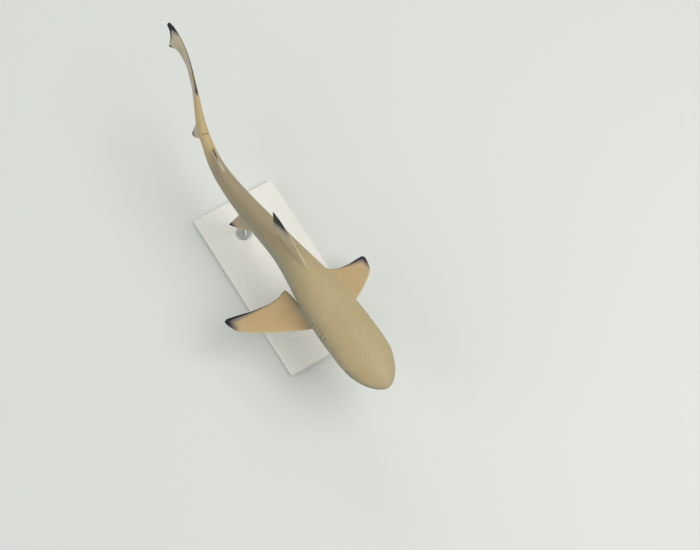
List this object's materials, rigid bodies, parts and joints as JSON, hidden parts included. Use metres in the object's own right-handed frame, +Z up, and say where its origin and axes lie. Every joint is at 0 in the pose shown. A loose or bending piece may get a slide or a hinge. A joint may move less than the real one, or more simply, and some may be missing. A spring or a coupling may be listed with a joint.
{
  "type": "blacktip reef shark model",
  "caption": "Life-size still model of a young blacktip reef shark in a gentle swimming curve, held over a flat display base by short rods.",
  "frame": {"origin": "centre of the underside of the stand's base", "axes": "+X towards the shark's head, +Y towards its left side, +Z up"},
  "size_m": [0.7889, 0.2935, 0.2489],
  "materials": {
    "skin": "satin, sandy olive back, pale belly, black fin tips",
    "eye": "polished, dark slit pupil in a golden brown iris",
    "stand_base": "satin pale paint",
    "stand_rod": "brushed"
  },
  "bodies": {
    "root": {"head": "skin", "lower_jaw": "skin", "trunk_front": "skin", "trunk_rear": "skin", "tail": "skin", "caudal_upper_lobe": "skin", "caudal_terminal_lobe": "skin", "caudal_lower_lobe": "skin", "first_dorsal_fin": "skin", "second_dorsal_fin": "skin", "anal_fin": "skin", "pectoral_fin_left": "skin", "pectoral_fin_right": "skin", "pelvic_fin_left": "skin", "pelvic_fin_right": "skin", "eye_left": "eye", "eye_right": "eye", "stand_base": "stand_base", "stand_rod_front": "stand_rod", "stand_rod_rear": "stand_rod"}
  },
  "joints": []
}
